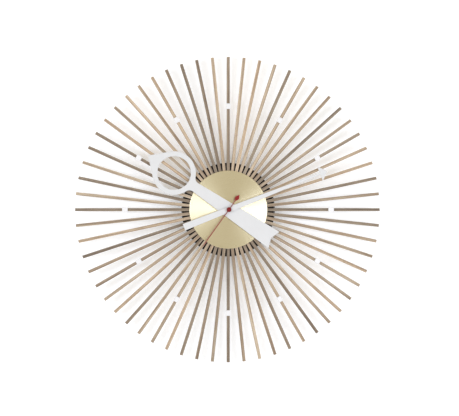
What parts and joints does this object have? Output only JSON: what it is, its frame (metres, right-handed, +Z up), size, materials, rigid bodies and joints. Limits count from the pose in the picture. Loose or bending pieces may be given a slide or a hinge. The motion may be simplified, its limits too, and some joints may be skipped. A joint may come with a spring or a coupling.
{
  "type": "sunburst wall clock",
  "caption": "Round wall clock with slim wooden rays held in a slotted black hub, a brushed brass dial, white paddle hands, a red second hand and a battery movement in a rear can.",
  "frame": {"origin": "where the hands' axis meets the wall plane, on the flat rear face of the movement cover, which is flush with the housing's rear lip", "axes": "+Z up to 12 o'clock, +X to 3 o'clock as seen from the front, +Y into the wall; the clock faces -Y"},
  "size_m": [0.47, 0.043, 0.47],
  "materials": {
    "ray_wood": "open-grained pale brown wood, thin satin oil",
    "black_hub": "satin black lacquer",
    "black_metal": "matt black powder coat",
    "dial_brass": "circular brushed, clear lacquered",
    "turned_brass": "turned, bright",
    "hand_white": "satin white paint",
    "second_red": "satin red paint",
    "cap_red": "smooth red plastic",
    "zinc_steel": "zinc plated",
    "magnet_steel": "sintered magnet, plated",
    "movement_black": "fine moulded texture",
    "gear_plastic": "natural acetal",
    "knob_plastic": "natural acetal, ribbed edge",
    "gasket_rubber": "matt black rubber",
    "copper_winding": "enamelled copper wire",
    "board_green": "green solder mask",
    "battery_sleeve": "plain printed sleeve with no text"
  },
  "bodies": {
    "clock_frame": {"rear_housing": "black_metal", "hanger_plate": "zinc_steel", "hanger_screw_left": "zinc_steel", "hanger_screw_right": "zinc_steel", "housing_screw_1": "zinc_steel", "housing_screw_2": "zinc_steel", "housing_screw_3": "zinc_steel", "ray_hub": "black_hub", "ray_fan_01": "ray_wood", "ray_fan_02": "ray_wood", "ray_fan_03": "ray_wood", "ray_fan_04": "ray_wood", "ray_fan_05": "ray_wood", "ray_fan_06": "ray_wood", "ray_fan_07": "ray_wood", "ray_fan_08": "ray_wood", "ray_fan_09": "ray_wood", "ray_fan_10": "ray_wood", "ray_fan_11": "ray_wood", "ray_fan_12": "ray_wood", "hour_marker_01": "hand_white", "hour_marker_02": "hand_white", "hour_marker_03": "hand_white", "hour_marker_04": "hand_white", "hour_marker_05": "hand_white", "hour_marker_06": "hand_white", "hour_marker_07": "hand_white", "hour_marker_08": "hand_white", "hour_marker_09": "hand_white", "hour_marker_10": "hand_white", "hour_marker_11": "hand_white", "hour_marker_12": "hand_white", "dial_disc": "dial_brass", "washer": "zinc_steel", "hex_nut": "turned_brass", "threaded_bush": "turned_brass", "rubber_gasket": "gasket_rubber", "movement_case": "movement_black", "movement_cover": "movement_black", "stator": "zinc_steel", "coil": "copper_winding", "circuit_board": "board_green", "quartz_crystal": "zinc_steel", "positive_contact": "zinc_steel", "negative_spring": "zinc_steel"},
    "minute": {"minute_hand": "hand_white", "minute_pipe": "turned_brass"},
    "hour": {"hour_hand": "hand_white", "hour_wheel": "gear_plastic"},
    "minute_wheel": {"minute_wheel": "gear_plastic"},
    "setting_knob": {"setting_knob": "knob_plastic"},
    "second": {"second_hand": "second_red", "centre_cap": "cap_red", "second_wheel": "gear_plastic"},
    "third_wheel": {"third_wheel": "gear_plastic"},
    "centre_wheel": {"centre_wheel": "gear_plastic"},
    "step_wheel": {"step_wheel": "gear_plastic"},
    "rotor": {"rotor": "magnet_steel"},
    "battery": {"battery": "battery_sleeve"}
  },
  "joints": [
    {"name": "minute_turn", "type": "hinge", "parent": "clock_frame", "child": "minute", "pos_m": [0, 0, 0], "axis": [0, 1, 0], "continuous": true},
    {"name": "hour_turn", "type": "hinge", "parent": "clock_frame", "child": "hour", "pos_m": [0, 0, 0], "axis": [0, 1, 0], "continuous": true},
    {"name": "minute_wheel_turn", "type": "hinge", "parent": "clock_frame", "child": "minute_wheel", "pos_m": [0.009, 0, 0], "axis": [0, 1, 0], "continuous": true},
    {"name": "setting_knob_turn", "type": "hinge", "parent": "clock_frame", "child": "setting_knob", "pos_m": [0.018, 0, 0], "axis": [0, 1, 0], "continuous": true},
    {"name": "second_turn", "type": "hinge", "parent": "clock_frame", "child": "second", "pos_m": [0, 0, 0], "axis": [0, 1, 0], "continuous": true},
    {"name": "third_wheel_turn", "type": "hinge", "parent": "clock_frame", "child": "third_wheel", "pos_m": [-0.0106, 0, 0.00612], "axis": [0, 1, 0], "continuous": true},
    {"name": "centre_wheel_turn", "type": "hinge", "parent": "clock_frame", "child": "centre_wheel", "pos_m": [0, 0, 0], "axis": [0, 1, 0], "continuous": true},
    {"name": "step_wheel_turn", "type": "hinge", "parent": "clock_frame", "child": "step_wheel", "pos_m": [0.0081, 0, 0.00965], "axis": [0, 1, 0], "continuous": true},
    {"name": "rotor_turn", "type": "hinge", "parent": "clock_frame", "child": "rotor", "pos_m": [0.00914, 0, 0.01556], "axis": [0, 1, 0], "continuous": true},
    {"name": "battery_slide", "type": "slide", "parent": "clock_frame", "child": "battery", "axis": [0, 1, 0], "range_m": [0, 0.03]}
  ],
  "couplings": [
    {"joint": "hour_turn", "follows": "minute_turn", "ratio": 0.083333},
    {"joint": "minute_wheel_turn", "follows": "minute_turn", "ratio": -0.33333},
    {"joint": "setting_knob_turn", "follows": "minute_turn", "ratio": 1},
    {"joint": "third_wheel_turn", "follows": "second_turn", "ratio": -0.13333},
    {"joint": "centre_wheel_turn", "follows": "second_turn", "ratio": 0.016667},
    {"joint": "step_wheel_turn", "follows": "second_turn", "ratio": -5},
    {"joint": "rotor_turn", "follows": "second_turn", "ratio": 30}
  ]
}
